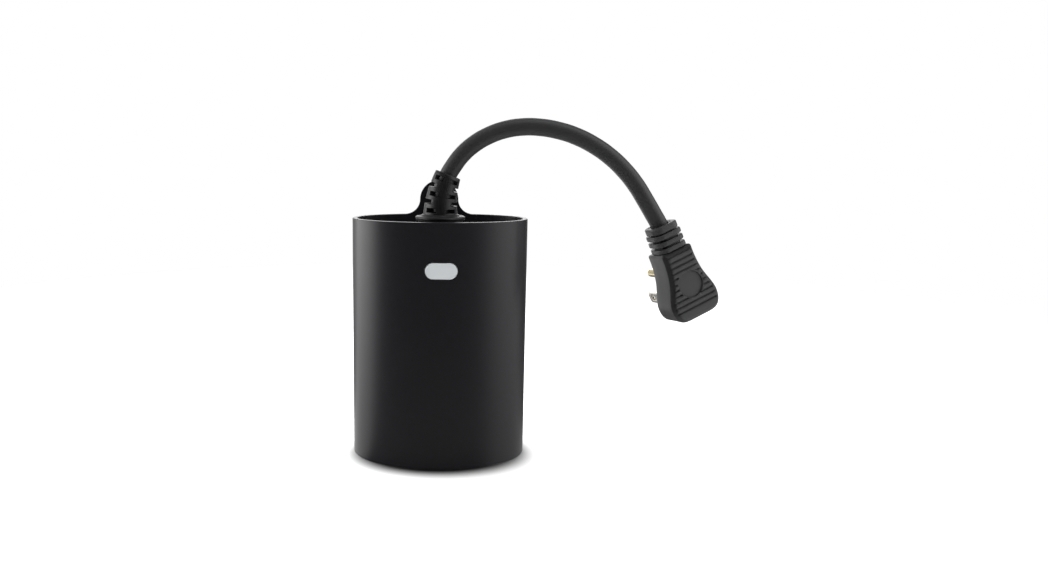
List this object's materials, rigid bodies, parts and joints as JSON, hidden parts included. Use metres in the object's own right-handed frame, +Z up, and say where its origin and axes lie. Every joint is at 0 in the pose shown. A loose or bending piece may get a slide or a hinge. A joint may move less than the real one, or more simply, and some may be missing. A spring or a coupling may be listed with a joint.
{
  "type": "outdoor smart plug",
  "caption": "Oval outdoor smart plug with a short cord and angled three-pin plug, a front button, a hanging tab and covered outlets underneath.",
  "frame": {"origin": "centre of the housing's bottom edge", "axes": "+Z up the housing towards the cord, +X along the oval's long axis towards the plug, -Y out of the front with the button"},
  "size_m": [0.1934, 0.058, 0.1765],
  "materials": {
    "shell_black": "fine satin texture",
    "housing_black": "satin",
    "gland_black": "matte moulded",
    "cord_jacket": "smooth satin",
    "plug_black": "matte moulded",
    "plug_bridge": "satin",
    "cover_black": "satin",
    "button_grey": "satin translucent",
    "seal_rubber": "matte",
    "seal_grey": "matte",
    "blade_nickel": "nickel plated",
    "pin_brass": "nickel-brass",
    "contact_bronze": "sprung bronze",
    "screw_steel": "zinc plated",
    "spring_steel": "stainless wire",
    "tin_plate": "tin plated",
    "board_green": "solder mask",
    "board_blue": "solder mask",
    "part_dark": "moulded",
    "led_clear": "clear",
    "relay_blue": "moulded",
    "capacitor_blue": "sleeved",
    "fuse_brown": "coated",
    "terminal_green": "moulded",
    "chassis_white": "moulded",
    "cable_grey": "ribbon",
    "wire_insulation": "insulated core"
  },
  "bodies": {
    "housing": {"outer_shell": "shell_black", "top_cap": "housing_black", "top_gasket": "seal_rubber", "gland_flange": "gland_black", "strain_relief": "gland_black", "cord": "cord_jacket", "plug_strain_relief": "plug_black", "plug_body": "plug_black", "plug_bridge": "plug_bridge", "plug_blades": "blade_nickel", "plug_ground_pin": "pin_brass", "plug_wires": "wire_insulation", "button_seal": "seal_rubber", "control_board": "board_green", "tact_switch": "part_dark", "status_led": "led_clear", "radio_module": "board_blue", "radio_shield": "tin_plate", "control_screws": "screw_steel", "board_cable": "cable_grey", "inner_chassis": "chassis_white", "main_board": "board_green", "board_screws": "screw_steel", "relays": "relay_blue", "transformer": "part_dark", "capacitors": "capacitor_blue", "varistor": "relay_blue", "fuse": "fuse_brown", "terminal_block": "terminal_green", "line_wire": "wire_insulation", "neutral_wire": "wire_insulation", "ground_wire": "wire_insulation", "cord_clamp": "chassis_white", "clamp_screws": "screw_steel", "outlet_base": "housing_black", "base_gasket": "seal_rubber", "base_screws": "screw_steel", "contact_retainer": "chassis_white", "line_contacts": "contact_bronze", "neutral_contacts": "contact_bronze", "ground_contacts": "contact_bronze", "outlet_leads": "wire_insulation", "hinge_pin_left": "screw_steel", "hinge_pin_right": "screw_steel", "cover_spring_left": "spring_steel", "cover_spring_right": "spring_steel"},
    "button": {"button_cap": "button_grey"},
    "cover_left": {"cover_left": "cover_black", "cover_gasket_left": "seal_grey"},
    "cover_right": {"cover_right": "cover_black", "cover_gasket_right": "seal_grey"}
  },
  "joints": [
    {"name": "button_press", "type": "slide", "parent": "housing", "child": "button", "axis": [0, 1, 0], "range_m": [0, 0.0008], "stiffness_N_per_m": 900, "springref_m": -0.0006},
    {"name": "cover_left_hinge", "type": "hinge", "parent": "housing", "child": "cover_left", "pos_m": [-0.0165, 0.0176, 0.0115], "axis": [1, 0, 0], "range_deg": [0, 90], "stiffness_Nm_per_rad": 0.006, "springref_deg": -40.11},
    {"name": "cover_right_hinge", "type": "hinge", "parent": "housing", "child": "cover_right", "pos_m": [0.0165, 0.0176, 0.0115], "axis": [1, 0, 0], "range_deg": [0, 90], "stiffness_Nm_per_rad": 0.006, "springref_deg": -40.11}
  ]
}
